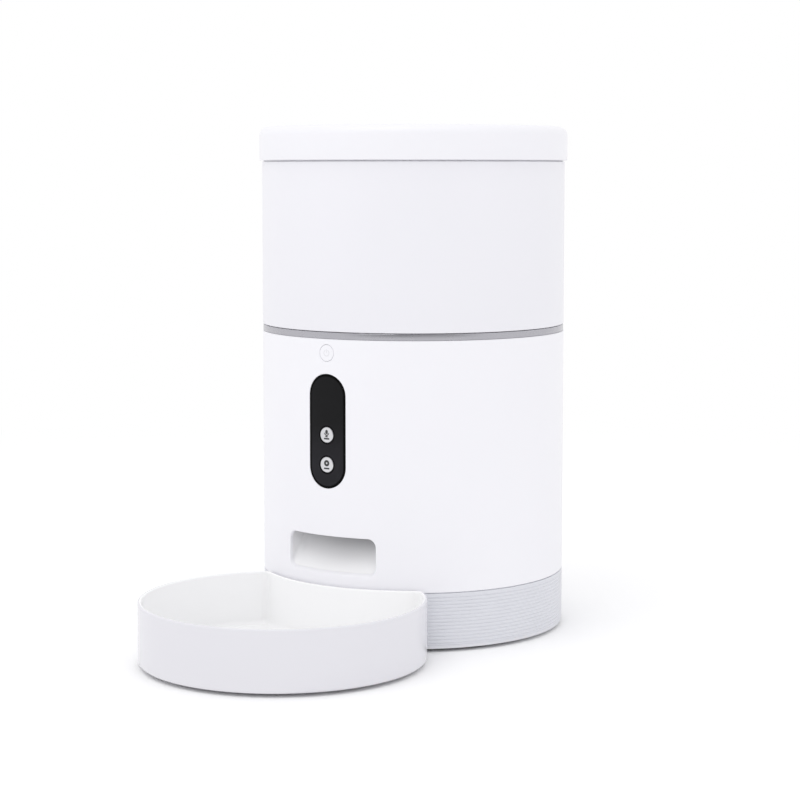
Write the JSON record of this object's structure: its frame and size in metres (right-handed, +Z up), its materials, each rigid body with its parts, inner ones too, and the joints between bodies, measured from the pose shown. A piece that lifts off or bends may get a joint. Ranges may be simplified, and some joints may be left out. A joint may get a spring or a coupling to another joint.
{
  "type": "automatic pet feeder with camera",
  "caption": "Round automatic pet feeder: lift-off food hopper with lid, motor-driven rotor and chute, front camera panel with push buttons, ribbed base and a bowl that hugs the body.",
  "frame": {"origin": "on the floor under the body's axis, in the plane of the foot ring's underside", "axes": "+Z up along the body's axis, -Y to the front where the outlet and the bowl are, +X to the right when looking along +Y"},
  "size_m": [0.2238, 0.3714, 0.3633],
  "materials": {
    "white_plastic": "satin moulded plastic",
    "silver_plastic": "satin silver plastic",
    "trim_silver": "satin silver trim",
    "panel_black": "glossy dark panel",
    "button_silver": "satin silver",
    "rubber_grey": "matt rubber",
    "steel": "plain steel",
    "brass": "plain brass",
    "board_green": "solder mask",
    "gear_plastic": "moulded acetal",
    "inner_grey": "moulded plastic",
    "dark_metal": "dark metal",
    "silicone": "soft silicone",
    "lens_glass": "coated glass"
  },
  "bodies": {
    "base": {"foot_ring": "rubber_grey", "base_plate": "silver_plastic", "base_ring": "silver_plastic", "base_screws": "steel", "battery_tray": "inner_grey", "battery_contacts": "brass", "speaker": "dark_metal", "main_board": "board_green", "board_screws": "steel", "power_inlet": "panel_black", "body_shell": "white_plastic", "trim_ring": "trim_silver", "control_panel": "panel_black", "front_board": "board_green", "button_switches": "dark_metal", "camera_module": "dark_metal", "camera_lens": "lens_glass", "chute": "white_plastic", "dispenser_deck": "inner_grey", "deck_screws": "steel", "flow_guard": "silicone", "shaft_bushing": "brass", "gearbox_housing": "inner_grey", "mechanism_screws": "steel", "idler_pin": "steel", "gear_motor": "dark_metal", "motor_screws": "steel"},
    "hopper": {"hopper": "white_plastic", "hopper_funnel": "white_plastic"},
    "lid": {"lid": "white_plastic", "lid_liner": "white_plastic", "lid_seal": "silicone"},
    "desiccant_cap": {"desiccant_cap": "silicone"},
    "rotor": {"rotor": "gear_plastic", "rotor_cap": "white_plastic", "rotor_shaft": "steel", "rotor_gear": "gear_plastic"},
    "idler": {"idler_gear": "gear_plastic"},
    "motor_drive": {"motor_shaft": "steel", "motor_pinion": "brass"},
    "record_button": {"record_button": "button_silver"},
    "play_button": {"play_button": "button_silver"},
    "power_button": {"power_button": "white_plastic"},
    "battery_door": {"battery_door": "silver_plastic"},
    "bowl": {"bowl": "white_plastic", "bowl_feet": "rubber_grey"}
  },
  "joints": [
    {"name": "hopper_lift", "type": "slide", "parent": "base", "child": "hopper", "axis": [0, 0, 1], "range_m": [0, 0.12]},
    {"name": "lid_lift", "type": "slide", "parent": "hopper", "child": "lid", "axis": [0, 0, 1], "range_m": [0, 0.12]},
    {"name": "desiccant_cap_turn", "type": "hinge", "parent": "lid", "child": "desiccant_cap", "pos_m": [0, 0, 0.347], "axis": [0, 0, 1], "range_deg": [0, 60]},
    {"name": "rotor_turn", "type": "hinge", "parent": "base", "child": "rotor", "pos_m": [0, 0, 0.17], "axis": [0, 0, 1], "continuous": true},
    {"name": "idler_turn", "type": "hinge", "parent": "base", "child": "idler", "pos_m": [0, 0.024, 0.14], "axis": [0, 0, 1], "continuous": true},
    {"name": "motor_turn", "type": "hinge", "parent": "base", "child": "motor_drive", "pos_m": [0, 0.048, 0.138], "axis": [0, 0, 1], "continuous": true},
    {"name": "record_press", "type": "slide", "parent": "base", "child": "record_button", "axis": [0, 1, 0], "range_m": [0, 0.0005], "stiffness_N_per_m": 3000},
    {"name": "play_press", "type": "slide", "parent": "base", "child": "play_button", "axis": [0, 1, 0], "range_m": [0, 0.0005], "stiffness_N_per_m": 3000},
    {"name": "power_press", "type": "slide", "parent": "base", "child": "power_button", "axis": [0, 1, 0], "range_m": [0, 0.0005], "stiffness_N_per_m": 3000},
    {"name": "battery_door_open", "type": "hinge", "parent": "base", "child": "battery_door", "pos_m": [0, 0.03535, 0.0035], "axis": [1, 0, 0], "range_deg": [0, 85]},
    {"name": "bowl_slide", "type": "slide", "parent": "base", "child": "bowl", "axis": [0, -1, 0], "range_m": [0, 0.15]}
  ],
  "couplings": [
    {"joint": "idler_turn", "follows": "rotor_turn", "ratio": -4},
    {"joint": "motor_turn", "follows": "rotor_turn", "ratio": 16}
  ]
}
